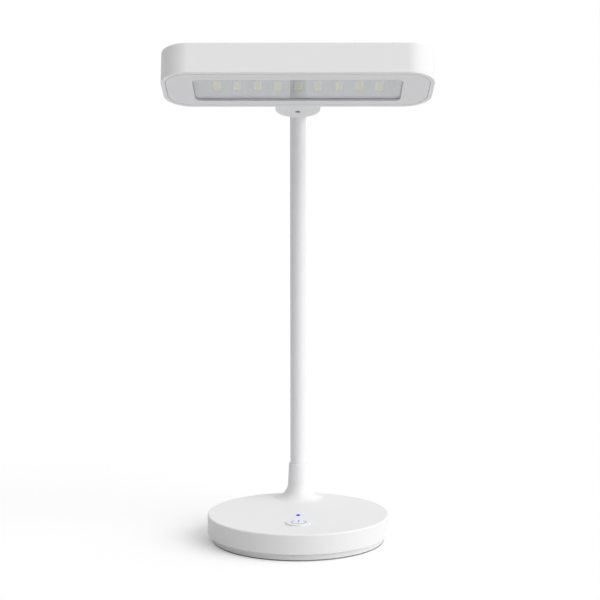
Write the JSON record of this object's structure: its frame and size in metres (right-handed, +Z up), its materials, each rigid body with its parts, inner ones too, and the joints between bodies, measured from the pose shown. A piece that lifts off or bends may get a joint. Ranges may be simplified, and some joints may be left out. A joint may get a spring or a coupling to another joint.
{
  "type": "desk lamp",
  "caption": "White LED desk lamp: round weighted base with push button, thin pole at its rear, and a rounded rectangular light bar that tilts on a hinge.",
  "frame": {"origin": "on the desk, under the middle of the round base", "axes": "+Z up along the pole, -Y towards the user, where the light bar reaches, +X to the right as the user sees it"},
  "size_m": [0.1888, 0.132, 0.3537],
  "materials": {
    "shell_white": "fine matte white",
    "panel_white": "satin white",
    "pole_white": "satin white powder coat",
    "button_white": "satin white",
    "clear": "clear, glossy",
    "rubber": "matte",
    "steel": "plain",
    "ballast_iron": "plain",
    "brass": "plain",
    "board_green": "satin",
    "board_white": "satin",
    "led_body": "gloss",
    "phosphor": "gloss",
    "switch_black": "matte",
    "cell_foil": "foil",
    "indicator_blue": "clear blue",
    "lead_grey": "matte",
    "friction_grey": "satin"
  },
  "bodies": {
    "stand": {"base_body": "shell_white", "base_plate": "shell_white", "foot_pad": "rubber", "ballast": "ballast_iron", "base_screws": "steel", "battery": "cell_foil", "control_board": "board_green", "tact_switch": "switch_black", "indicator_led": "led_body", "indicator_lens": "indicator_blue", "usb_board": "board_green", "usb_socket": "steel", "pole": "pole_white", "pole_nipple": "brass", "pole_washer": "steel", "pole_nut": "brass", "lead_wire": "lead_grey", "hinge_knuckle": "shell_white"},
    "head": {"head_shell": "shell_white", "head_bezel": "panel_white", "window_lens": "clear", "lens_frame": "board_white", "led_board": "board_white", "led_packages": "led_body", "led_phosphor": "phosphor", "ear_cover": "shell_white", "ear_screw": "steel", "hinge_pin": "steel", "hinge_washers": "friction_grey"},
    "button": {"power_button": "button_white", "switch_plunger": "switch_black"}
  },
  "joints": [
    {"name": "head_tilt", "type": "hinge", "parent": "stand", "child": "head", "pos_m": [0, 0.048, 0.3146], "axis": [1, 0, 0], "range_deg": [-45, 32]},
    {"name": "button_press", "type": "slide", "parent": "stand", "child": "button", "axis": [0, 0, -1], "range_m": [0, 0.0006], "stiffness_N_per_m": 3000, "springref_m": -0.0003}
  ]
}
